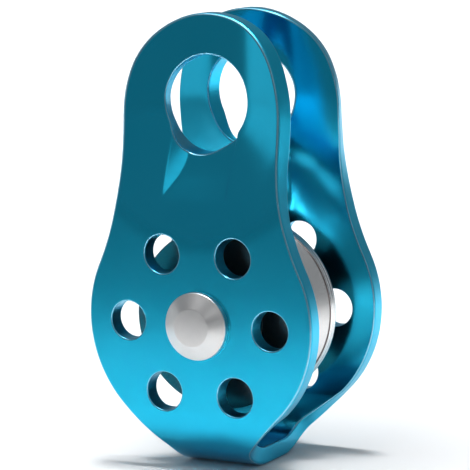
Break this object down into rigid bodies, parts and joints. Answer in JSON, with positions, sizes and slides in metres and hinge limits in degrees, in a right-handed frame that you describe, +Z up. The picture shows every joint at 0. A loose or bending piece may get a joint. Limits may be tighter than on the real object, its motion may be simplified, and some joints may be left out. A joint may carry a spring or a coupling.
{
  "type": "rope pulley",
  "caption": "Small fixed-cheek rope pulley: one bent metal plate forms both cheeks, with a carabiner eye through them and a grooved sheave on a riveted axle.",
  "frame": {"origin": "centre of the carabiner eye, on its axis, halfway between the two cheeks", "axes": "+Z up, from the sheave's axle to the eye; +Y along the axle and the eye's axis, from the front cheek to the rear cheek; +X across the pulley"},
  "size_m": [0.055, 0.042, 0.0999],
  "materials": {
    "anodised_plate": "bright blue anodised aluminium with satin edges",
    "rivet_steel": "satin turned stainless steel",
    "sheave_metal": "turned satin aluminium",
    "spacer_metal": "turned steel",
    "bearing_steel": "ground and polished bearing steel",
    "shield_steel": "pressed satin steel",
    "cage_polymer": "matte dark moulded polymer"
  },
  "bodies": {
    "frame_and_axle": {"frame": "anodised_plate", "axle_rivet": "rivet_steel", "front_spacer_sleeve": "spacer_metal", "rear_spacer_sleeve": "spacer_metal", "centre_spacer_ring": "spacer_metal", "front_bearing_inner_race": "bearing_steel", "rear_bearing_inner_race": "bearing_steel"},
    "rolling_sheave": {"sheave": "sheave_metal", "front_bearing_outer_race": "bearing_steel", "front_bearing_inside_shield": "shield_steel", "front_bearing_outside_shield": "shield_steel", "rear_bearing_outer_race": "bearing_steel", "rear_bearing_inside_shield": "shield_steel", "rear_bearing_outside_shield": "shield_steel"},
    "front_ball_set": {"front_bearing_cage": "cage_polymer", "front_bearing_ball_1": "bearing_steel", "front_bearing_ball_2": "bearing_steel", "front_bearing_ball_3": "bearing_steel", "front_bearing_ball_4": "bearing_steel", "front_bearing_ball_5": "bearing_steel", "front_bearing_ball_6": "bearing_steel", "front_bearing_ball_7": "bearing_steel"},
    "rear_ball_set": {"rear_bearing_cage": "cage_polymer", "rear_bearing_ball_1": "bearing_steel", "rear_bearing_ball_2": "bearing_steel", "rear_bearing_ball_3": "bearing_steel", "rear_bearing_ball_4": "bearing_steel", "rear_bearing_ball_5": "bearing_steel", "rear_bearing_ball_6": "bearing_steel", "rear_bearing_ball_7": "bearing_steel"}
  },
  "joints": [
    {"name": "sheave_spin", "type": "hinge", "parent": "frame_and_axle", "child": "rolling_sheave", "pos_m": [0, 0, -0.0483], "axis": [0, 1, 0], "continuous": true},
    {"name": "front_cage_spin", "type": "hinge", "parent": "frame_and_axle", "child": "front_ball_set", "pos_m": [0, -0.0055, -0.0483], "axis": [0, 1, 0], "continuous": true},
    {"name": "rear_cage_spin", "type": "hinge", "parent": "frame_and_axle", "child": "rear_ball_set", "pos_m": [0, 0.0055, -0.0483], "axis": [0, 1, 0], "continuous": true}
  ],
  "couplings": [
    {"joint": "front_cage_spin", "follows": "sheave_spin", "ratio": 0.6323},
    {"joint": "rear_cage_spin", "follows": "sheave_spin", "ratio": 0.6323}
  ]
}
